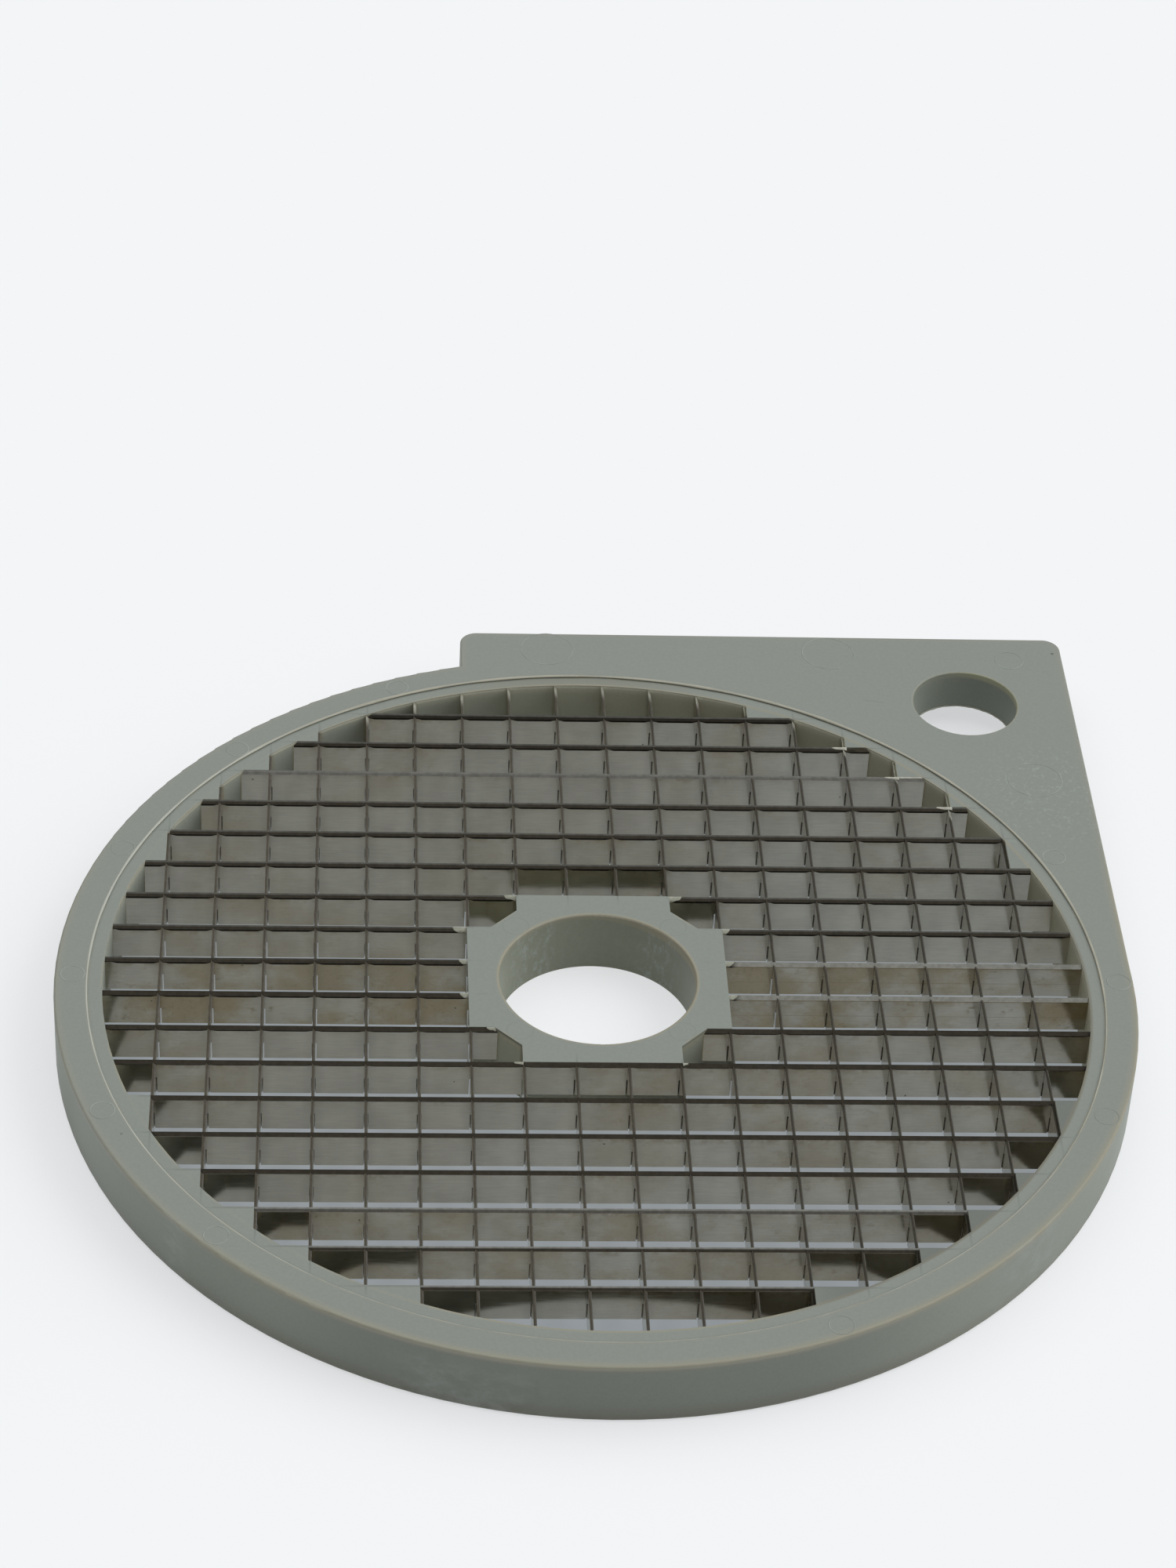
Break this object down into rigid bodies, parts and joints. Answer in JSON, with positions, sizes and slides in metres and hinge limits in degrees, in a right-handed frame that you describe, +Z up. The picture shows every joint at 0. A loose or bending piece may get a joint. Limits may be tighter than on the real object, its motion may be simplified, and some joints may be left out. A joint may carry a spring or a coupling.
{
  "type": "dicing disc",
  "caption": "Round moulded grid plate with crossed knife blades, a large hub bore and one corner tab, for cutting slices of food into cubes.",
  "frame": {"origin": "on the hub bore's axis, at the underside that the plate rests on", "axes": "+Z up, out of the knife-edge side; +Y towards the tab's far edge; +X towards the side on which the tab's hole lies"},
  "size_m": [0.2106, 0.2198, 0.0136],
  "materials": {
    "frame_plastic": "moulded satin, sage grey",
    "hub_plastic": "moulded satin, sage grey",
    "row_steel": "rolled strip with a darker ground bevel",
    "column_steel": "rolled strip with a darker ground bevel"
  },
  "bodies": {
    "root": {"frame_ring": "frame_plastic", "hub": "hub_plastic", "row_01": "row_steel", "row_02": "row_steel", "row_03": "row_steel", "row_04": "row_steel", "row_05": "row_steel", "row_06": "row_steel", "row_07": "row_steel", "row_08_left": "row_steel", "row_08_right": "row_steel", "row_09_left": "row_steel", "row_09_right": "row_steel", "row_10_left": "row_steel", "row_10_right": "row_steel", "row_11_left": "row_steel", "row_11_right": "row_steel", "row_12": "row_steel", "row_13": "row_steel", "row_14": "row_steel", "row_15": "row_steel", "row_16": "row_steel", "row_17": "row_steel", "row_18": "row_steel", "column_01": "column_steel", "column_02": "column_steel", "column_03": "column_steel", "column_04": "column_steel", "column_05": "column_steel", "column_06": "column_steel", "column_07": "column_steel", "column_08_front": "column_steel", "column_08_back": "column_steel", "column_09_front": "column_steel", "column_09_back": "column_steel", "column_10_front": "column_steel", "column_10_back": "column_steel", "column_11_front": "column_steel", "column_11_back": "column_steel", "column_12": "column_steel", "column_13": "column_steel", "column_14": "column_steel", "column_15": "column_steel", "column_16": "column_steel", "column_17": "column_steel", "column_18": "column_steel"}
  },
  "joints": []
}
